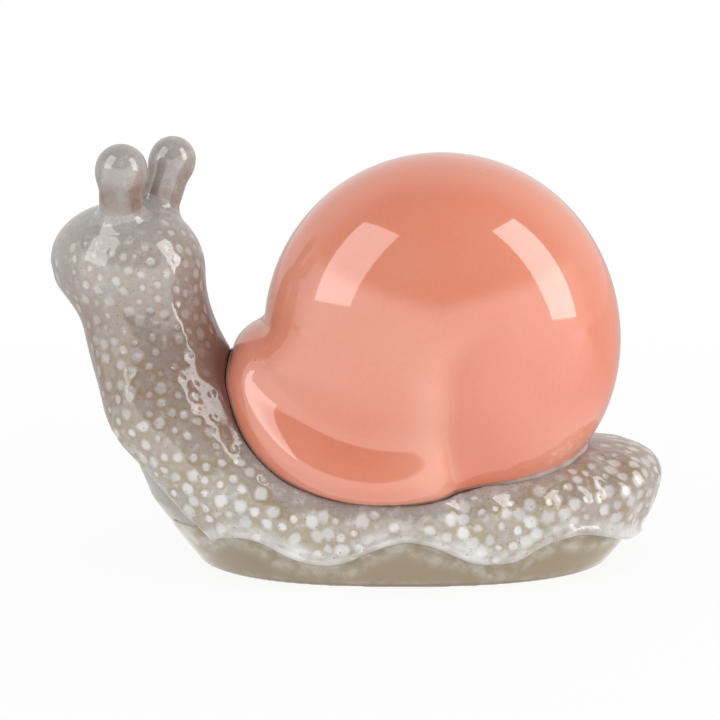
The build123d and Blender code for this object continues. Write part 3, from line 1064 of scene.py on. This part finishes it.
        dome = add_step(tree, self.painted(tree, "spot_reach"), 0.35, 1.25, 1.0, 0.0)
        dome = add_math(tree, "MULTIPLY", dome, given["Relief"])
        noise = add_node(tree, "ShaderNodeTexNoise", {
            "Vector": place, "Scale": given["Swell Scale"], "Detail": 1.0})
        swell = add_math(tree, "SUBTRACT", noise.outputs["Fac"], 0.5)
        swell = add_math(tree, "MULTIPLY", add_math(tree, "MULTIPLY", swell, given["Swell"]),
                         self.painted(tree, "uneven"))
        normal = add_node(tree, "GeometryNodeInputNormal").outputs[0]
        lift = self.vectors(tree, "SCALE", {0: normal, "Scale": add_math(tree, "ADD", dome, swell)})
        raised = add_node(tree, "GeometryNodeSetPosition", {"Geometry": stored, "Offset": lift})
        real = add_node(tree, "GeometryNodeRealizeInstances", {"Geometry": raised.outputs["Geometry"]})
        dressed = add_node(tree, "GeometryNodeSetMaterial", {
            "Geometry": real.outputs["Geometry"], "Material": given["Glaze"]})
        tree.links.new(dressed.outputs["Geometry"], result.inputs["Geometry"])
        return tree, sockets


@dataclass
class SnailShell:
    """The coral shell and the bead of slip in its seam."""

    form: ShellForm
    body: BodyForm
    cell: float = 0.85
    seam_points: int = 480
    seam_sides: int = 14
    bead_front: float = 0.35
    bead_rear: float = 1.15

    def build(self, groups: GlazeGroups) -> None:
        """Build and dress the shell and its bedding."""
        low, high = (np.array(corner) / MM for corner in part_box("shell_casting"))
        margin = 3.0 * self.cell
        base = low[2]

        def closed(x: Array, y: Array, z: Array) -> Array:
            return smooth_cut(self.form.field(x, y, z), base - z, 1.0)

        points, quads = FieldMesher(self.cell).mesh(closed, low - margin, high + margin)
        shell = new_piece("coral_shell", points, quads)
        self.paint_light_and_shade(shell, points)
        shell.data.materials.append(CoralGlaze("coral_glaze", roughness=0.06, bump=0.05).build(groups))
        place_piece(shell, ("shell_casting",))
        self.build_bedding(groups)

    def paint_light_and_shade(self, shell: Object, points: Array) -> None:
        """Paint a painted highlight on the ridge in front of the crease and on the lower rear, and painted
        shade in the valley behind the crease.
        """
        x, _, z = points.T
        past = x - self.form.crease_line(z)
        low = ease(16.0, 30.0, z) * (1.0 - ease(52.0, 74.0, z))
        ridge = np.exp(-(past / 5.0 + 1.0) ** 2)
        behind = ease(0.0, 4.0, past) * np.exp(-np.maximum(past, 0.0) / 16.0)
        rear = ease(26.0, 46.0, x) * (1.0 - ease(26.0, 56.0, z))
        paint(shell, "painted_light_and_shade", low * (0.5 * ridge - 0.75 * behind) + 0.6 * rear)

    def seam(self) -> Array:
        """Points of the line where the shell meets the body.

        Returns:
            A closed row of points, in millimetres.
        """
        turn = np.linspace(0.0, 2.0 * math.pi, self.seam_points, endpoint=False)
        low_z, high_z = np.full(len(turn), 17.0), np.full(len(turn), 76.0)
        for _ in range(36):
            z = (low_z + high_z) / 2
            inside = self.body.outside(*self.on_shell(turn, z).T) < 0.0
            low_z = np.where(inside, z, low_z)
            high_z = np.where(inside, high_z, z)
        return self.on_shell(turn, (low_z + high_z) / 2)

    def on_shell(self, turn: Array, z: Array) -> Array:
        """Points on the shell at given turns round its upright axis and heights."""
        near, far = np.zeros(len(turn)), np.full(len(turn), 70.0)
        for _ in range(36):
            reach = (near + far) / 2
            inside = self.form.field(reach * np.cos(turn), reach * np.sin(turn), z) < 0.0
            near = np.where(inside, reach, near)
            far = np.where(inside, far, reach)
        return np.stack([near * np.cos(turn), near * np.sin(turn), z], axis=1)

    def build_bedding(self, groups: GlazeGroups) -> None:
        """Build the bead of slip along the seam, thicker behind the shell."""
        line = self.seam()
        along = np.roll(line, -1, axis=0) - np.roll(line, 1, axis=0)
        along /= np.linalg.norm(along, axis=1, keepdims=True)
        outward = gradient(self.form.field, line)
        outward -= (outward * along).sum(axis=1, keepdims=True) * along
        outward /= np.linalg.norm(outward, axis=1, keepdims=True)
        upward = np.cross(along, outward)
        rear = ease(12.0, 42.0, line[:, 0])
        radius = self.bead_front + (self.bead_rear - self.bead_front) * rear
        turn = np.linspace(0.0, 2.0 * math.pi, self.seam_sides, endpoint=False)
        ring = (np.cos(turn)[None, :, None] * outward[:, None, :]
                + np.sin(turn)[None, :, None] * upward[:, None, :])
        points = (line[:, None, :] + radius[:, None, None] * ring).reshape(-1, 3)
        here = np.arange(self.seam_points)[:, None] * self.seam_sides
        there = np.roll(np.arange(self.seam_points), -1)[:, None] * self.seam_sides
        side = np.arange(self.seam_sides)
        beside = np.roll(side, -1)
        faces = np.stack([here + side, here + beside, there + beside, there + side], axis=2).reshape(-1, 4)
        bedding = new_piece("shell_bedding_bead", points, faces)
        # Lighter slip towards the rear; the dark front of the bead is painted shadow under the lip.
        paint(bedding, "bead", np.repeat(rear, self.seam_sides))
        bedding.data.materials.append(BeddingSlip("bedding_slip", roughness=0.5).build(groups))
        place_piece(bedding, ("shell_bedding",))


@dataclass
class SnailBody:
    """The spotted body, and the sole inside its skirt."""

    form: BodyForm
    stalks: list[StalkForm]
    cell: float = 0.78
    sole_cell: float = 0.9

    def build(self, groups: GlazeGroups) -> None:
        """Build and dress the body and the sole."""
        low, high = (np.array(corner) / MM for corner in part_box("body_casting"))
        margin = 3.0 * self.cell
        low[2] = 0.0
        points, quads = FieldMesher(self.cell).mesh(self.form.glazed, low - margin, high + margin)
        body = new_piece("spotted_body", points, quads)
        self.paint_masks(body, points)
        SpotTree().dress(body, SpottedGlaze("spotted_glaze", roughness=0.09, bump=0.2).build(groups))
        place_piece(body, ("body_casting",))
        self.build_sole(groups)

    def paint_masks(self, body: Object, points: Array) -> None:
        """Paint where the spots, the plain front and the pooled glaze lie, and where painted shade darkens
        the neck and the tail.
        """
        x, y, z = points.T
        form = self.form
        ridge, skirt = form.ridge(x, y, z), z - form.skirt(x, y)
        shell = form.shell.field(x, y, z)
        facing = form.facing()
        muzzle = (x - form.head_middle[0]) * facing[0] + (y - form.head_middle[1]) * facing[1]
        head = ease(66.0, 84.0, z)
        stalk = np.min([np.linalg.norm(points - item.foot(), axis=1) for item in self.stalks], axis=0)
        density = ease(0.5, 2.5, ridge) * ease(1.5, 3.5, skirt) * ease(2.0, 6.0, shell)
        density = density * ease(8.0, 11.0, stalk) * (1.0 - head * ease(-3.0, 7.0, muzzle))
        paint(body, "spot_density", density)
        paint(body, "spot_size", (1.72 - 0.3 * ease(25.0, 60.0, z) - 0.1 * head) * MM)
        plain = np.maximum(1.0 - ease(-0.8, 0.6, ridge), 1.0 - ease(-0.5, 1.2, skirt))
        paint(body, "plain", plain)
        paint(body, "pooled", ease(0.3, 1.8, skirt) * (1.0 - ease(3.0, 7.0, skirt)) * (1.0 - plain))
        clay = (1.0 - 0.6 * ease(60.0, 76.0, z)) * ease(1.0, 5.0, shell)
        paint(body, "clay", clay * ease(7.0, 16.0, stalk))
        # Painted shade with a red painted reflection of the shell, strongest on the neck just under the lip,
        # plus painted shade on the upper neck and on the tail.
        near = np.maximum(shell, 0.0)
        painted_shade = 0.85 * np.exp(-near / 5.0) + 0.2 * np.exp(-near / 16.0)
        shade = 0.28 * ease(36.0, 56.0, z) * (1.0 - ease(68.0, 82.0, z)) + 0.2 * ease(20.0, 46.0, x)
        paint(body, "painted_shade", shade + painted_shade * ease(28.0, 44.0, z) * ease(30.0, 42.0, -x))
        paint(body, "spot_white", 1.0 - 0.28 * ease(34.0, 56.0, z))
        paint(body, "uneven", (1.0 - 0.8 * head) * (1.0 - 0.7 * plain))

    def build_sole(self, groups: GlazeGroups) -> None:
        """Build the flat sole, with pale runs under the skirt and a painted contact shadow along its bottom
        edge.
        """
        low, high = (np.array(corner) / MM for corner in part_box("sole_slab"))
        margin = 3.0 * self.sole_cell
        high[2] = self.form.sole_top
        points, quads = FieldMesher(self.sole_cell).mesh(self.form.sole, low - margin, high + margin)
        points[:, 2] = np.maximum(points[:, 2], 0.0)
        sole = new_piece("clay_sole", points, quads)
        x, y, z = points.T
        below = self.form.skirt(x, y) - z
        streak = 0.75 * np.exp(-((below - 2.3 - 0.8 * np.sin(0.31 * x)) / 1.7) ** 2)
        foot = 0.35 - 0.35 * ease(0.8, 3.0, z)
        paint(sole, "run", np.maximum(streak, np.maximum(1.0 - ease(0.0, 1.2, below), foot)))
        # Painted contact shadow along the sole's bottom edge.
        paint(sole, "line", 1.0 - ease(0.4, 1.2, z))
        sole.data.materials.append(BareClay("bare_clay", roughness=0.2, bump=0.2).build(groups))
        place_piece(sole, ("sole_slab",))


@dataclass
class EyeStalks:
    """Both eye stalks and the fillet of slip at their feet."""

    stalks: list[StalkForm]
    cell: float = 0.42
    slip_blend: float = 3.4
    slip_reach: float = 11.0
    slip_depth: float = 1.0
    slip_sink: float = 0.05

    def build(self, groups: GlazeGroups) -> None:
        """Build and dress the stalks and their slip."""
        glaze = StalkGlaze("stalk_glaze", roughness=0.08, bump=0.12).build(groups)
        mesher = FieldMesher(self.cell)
        for stalk in self.stalks:
            tip = stalk.foot() + stalk.axis() * stalk.length
            foot = stalk.foot() - stalk.axis() * stalk.root
            room = stalk.bulb_radius + 1.5
            low, high = np.minimum(tip, foot) - room, np.maximum(tip, foot) + room
            points, quads = mesher.mesh(stalk.field, low, high)
            name = stalk.side.name.lower()
            piece = new_piece(f"{name}_stalk", points, quads)
            rise = (points - stalk.foot()) @ stalk.axis()
            paint(piece, "warmth", 1.4 * ease(1.0, 6.0, rise) * (1.0 - 0.85 * ease(7.0, 14.0, rise)))
            piece.data.materials.append(glaze)
            place_piece(piece, (f"{name}_eye_stalk",))
        feet = np.array([stalk.foot() for stalk in self.stalks])
        room = self.slip_reach + 2.0 * self.cell
        points, quads = mesher.mesh(self.slip, feet.min(axis=0) - room, feet.max(axis=0) + room)
        slip = new_piece("stalk_fillets", points, quads)
        paint(slip, "warmth", np.zeros(len(points)))
        slip.data.materials.append(glaze)
        place_piece(slip, ("stalk_slip",))

    def slip(self, x: Array, y: Array, z: Array) -> Array:
        """Fillet of slip between the stalks and the head, a skin that thins out on both."""
        head = self.stalks[0].body.outside(x, y, z)
        form = head
        stalk = reach = np.inf
        for item in self.stalks:
            foot, rod = item.foot(), item.field(x, y, z)
            form = smooth_union(form, rod, self.slip_blend)
            stalk = np.minimum(stalk, rod)
            reach = np.minimum(reach, np.sqrt((x - foot[0]) ** 2 + (y - foot[1]) ** 2 + (z - foot[2]) ** 2))
        inner = np.maximum(-self.slip_depth - head, -self.slip_depth - stalk)
        return np.maximum(np.maximum(form + self.slip_sink, reach - self.slip_reach), inner)


@dataclass
class Studio:
    """Camera, soft boxes, white surroundings and a pale floor."""

    target: tuple[float, float, float] = (-13.3, 0.0, 54.1)
    distance: float = 750.0
    elevation: float = 13.0
    focal_pixels: float = 2767.5
    frame_pixels: float = 720.0
    sensor: float = 36.0
    floor_half: float = 3.0
    fill: float = 1.0
    top_fill: float = 0.86
    front_fill: float = 0.2
    front_mirror: float = 2.6
    rim_mirror: float = 0.85
    floor_rim: float = 0.6
    dark_ceiling: float = 0.05
    shadow_near: float = 0.12
    shadow_far: float = 0.40
    floor_light: float = 0.1
    floor_bounce: float = 0.75

    def build(self) -> None:
        """Set up the studio."""
        self.build_camera()
        self.build_world()
        self.build_floor()
        self.build_box("left_soft_box", Vector((-0.465, -0.241, 0.383)), 0.40, 0.54, 4.3)
        self.build_box("right_soft_box", Vector((0.536, -0.212, 0.343)), 0.29, 0.65, 6.4)
        self.build_key("right_key", Vector((0.72, -0.14, 0.16)), 0.4, 1.5)
        bpy.context.scene.view_settings.view_transform = "Standard"

    def middle(self) -> Vector:
        """Point that the camera looks at, in metres."""
        return Vector(self.target) * MM

    def build_camera(self) -> None:
        """Place the camera at the photographed angle."""
        lens = bpy.data.cameras.new("camera")
        lens.sensor_fit = "HORIZONTAL"
        lens.sensor_width = self.sensor
        lens.lens = self.focal_pixels * self.sensor / self.frame_pixels
        lens.clip_start = 0.01
        camera = bpy.data.objects.new("camera", lens)
        tilt = math.radians(self.elevation)
        back = Vector((0.0, -math.cos(tilt), math.sin(tilt)))
        camera.location = self.middle() + back * self.distance * MM
        camera.rotation_euler = (math.pi / 2 - tilt, 0.0, 0.0)
        bpy.context.scene.collection.objects.link(camera)
        bpy.context.scene.camera = camera

    def hang(self, lamp: Light, offset: Vector) -> Object:
        """Hang a lamp so that it faces the figurine.

        Args:
            lamp: The lamp.
            offset: From the figurine to the lamp, in metres.

        Returns:
            The object that holds the lamp.
        """
        holder = bpy.data.objects.new(lamp.name, lamp)
        holder.location = self.middle() + offset
        holder.rotation_euler = offset.to_track_quat("Z", "Y").to_euler()
        bpy.context.scene.collection.objects.link(holder)
        return holder

    def build_box(self, name: str, offset: Vector, width: float, height: float, radiance: float) -> None:
        """Hang one soft box that faces the figurine and shows in its glaze.

        Args:
            name: The lamp's name.
            offset: From the figurine to the lamp, in metres.
            width: Its level side, in metres.
            height: Its other side, in metres.
            radiance: How bright it looks, where white is 1.
        """
        lamp = bpy.data.lights.new(name, "AREA")
        lamp.shape = "RECTANGLE"
        lamp.size = width
        lamp.size_y = height
        lamp.energy = radiance * math.pi * width * height
        self.hang(lamp, offset).visible_diffuse = False

    def build_key(self, name: str, offset: Vector, width: float, power: float) -> None:
        """Add soft light from one side that doesn't show in the glaze.

        Args:
            name: The lamp's name.
            offset: From the figurine to the lamp, in metres.
            width: Its side, in metres.
            power: Its power in watts.
        """
        lamp = bpy.data.lights.new(name, "AREA")
        lamp.shape = "SQUARE"
        lamp.size = width
        lamp.energy = power
        self.hang(lamp, offset).visible_glossy = False

    def build_world(self) -> None:
        """White surroundings, darker above for the fill light and dark overhead in front for reflections."""
        world = bpy.data.worlds.new("surroundings")
        world.use_nodes = True
        tree = world.node_tree
        place = add_node(tree, "ShaderNodeTexCoord").outputs["Generated"]
        parts = add_node(tree, "ShaderNodeSeparateXYZ", {"Vector": place}).outputs
        path = add_node(tree, "ShaderNodeLightPath").outputs
        fill = add_math(tree, "ADD", add_step(tree, parts["Z"], 0.0, 1.0, self.fill, self.top_fill),
                        add_step(tree, parts["Y"], -1.0, 0.2, self.front_fill, 0.0))
        aside = add_math(tree, "MULTIPLY", add_math(tree, "ABSOLUTE", parts["X"]), -0.36)
        above = add_step(tree, add_math(tree, "ADD", parts["Z"], aside), 0.03, 0.24)
        ahead = add_step(tree, parts["Y"], 0.05, 0.6, 1.0, 0.0)
        shade = add_math(tree, "MULTIPLY", add_math(tree, "MULTIPLY", above, ahead), 1.0 - self.dark_ceiling)
        level = add_step(tree, parts["Y"], -0.35, 0.35, self.front_mirror, self.rim_mirror)
        mirrored = add_math(tree, "MULTIPLY", add_math(tree, "SUBTRACT", 1.0, shade), level)
        glossy = add_math(tree, "MAXIMUM", path["Is Glossy Ray"], path["Is Transmission Ray"])
        strength = add_blend(tree, glossy, fill, mirrored)
        strength = add_blend(tree, path["Is Camera Ray"], strength, 1.0)
        tree.links.new(strength, tree.nodes["Background"].inputs["Strength"])
        tree.nodes["Background"].inputs["Color"].default_value = colour(1.0, 1.0, 1.0)
        bpy.context.scene.world = world

    def build_floor(self) -> None:
        """Pale floor that keeps the shadow near the figurine and fades to white further out."""
        half = self.floor_half
        mesh = bpy.data.meshes.new("floor")
        corners = [(-half, -half, 0), (half, -half, 0), (half, half, 0), (-half, half, 0)]
        mesh.from_pydata(corners, [], [(0, 1, 2, 3)])
        material = bpy.data.materials.new("pale_floor")
        material.use_nodes = True
        tree = material.node_tree
        shader = tree.nodes["Principled BSDF"]
        shader.inputs["Base Color"].default_value = colour(0.88, 0.88, 0.88)
        shader.inputs["Roughness"].default_value = 0.7
        shader.inputs["Specular IOR Level"].default_value = 0.2
        glow = add_node(tree, "ShaderNodeEmission", {"Color": colour(1.0, 1.0, 1.0), "Strength": 1.0})
        place = add_node(tree, "ShaderNodeTexCoord").outputs["Object"]
        reach = add_node(tree, "ShaderNodeVectorMath", {0: place}, operation="LENGTH").outputs["Value"]
        fade = add_step(tree, reach, self.shadow_near, self.shadow_far, 1.0 - self.floor_light, 1.0)
        path = add_node(tree, "ShaderNodeLightPath").outputs
        seen = add_blend(tree, path["Is Camera Ray"], self.floor_bounce, fade)
        seen = add_math(tree, "MAXIMUM", seen, path["Is Glossy Ray"])
        depth = add_node(tree, "ShaderNodeSeparateXYZ", {"Vector": place}).outputs["Y"]
        level = add_step(tree, depth, -0.15, 0.1, self.front_mirror, self.floor_rim)
        shine = add_blend(tree, path["Is Glossy Ray"], 1.0, level)
        tree.links.new(shine, glow.inputs["Strength"])
        mixed = add_node(tree, "ShaderNodeMixShader", {0: seen, 1: shader.outputs[0], 2: glow.outputs[0]})
        tree.links.new(mixed.outputs[0], tree.nodes["Material Output"].inputs["Surface"])
        mesh.materials.append(material)
        floor = bpy.data.objects.new("floor", mesh)
        bpy.context.scene.collection.objects.link(floor)


def main() -> None:
    """Build the figurine and its studio."""
    logging.basicConfig(level=logging.INFO, format="%(name)s: %(message)s")
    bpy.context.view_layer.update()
    shell = ShellForm(top=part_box("shell_casting")[1].z / MM)
    body = BodyForm(shell)
    stalks = [StalkForm(body, Side.LEFT, 6.9), StalkForm(body, Side.RIGHT, 6.2, rod_radius=5.5, length=13.8)]
    groups = GlazeGroups()
    SnailShell(shell, body).build(groups)
    SnailBody(body, stalks).build(groups)
    EyeStalks(stalks).build(groups)
    Studio().build()


if __name__ == "__main__":
    main()
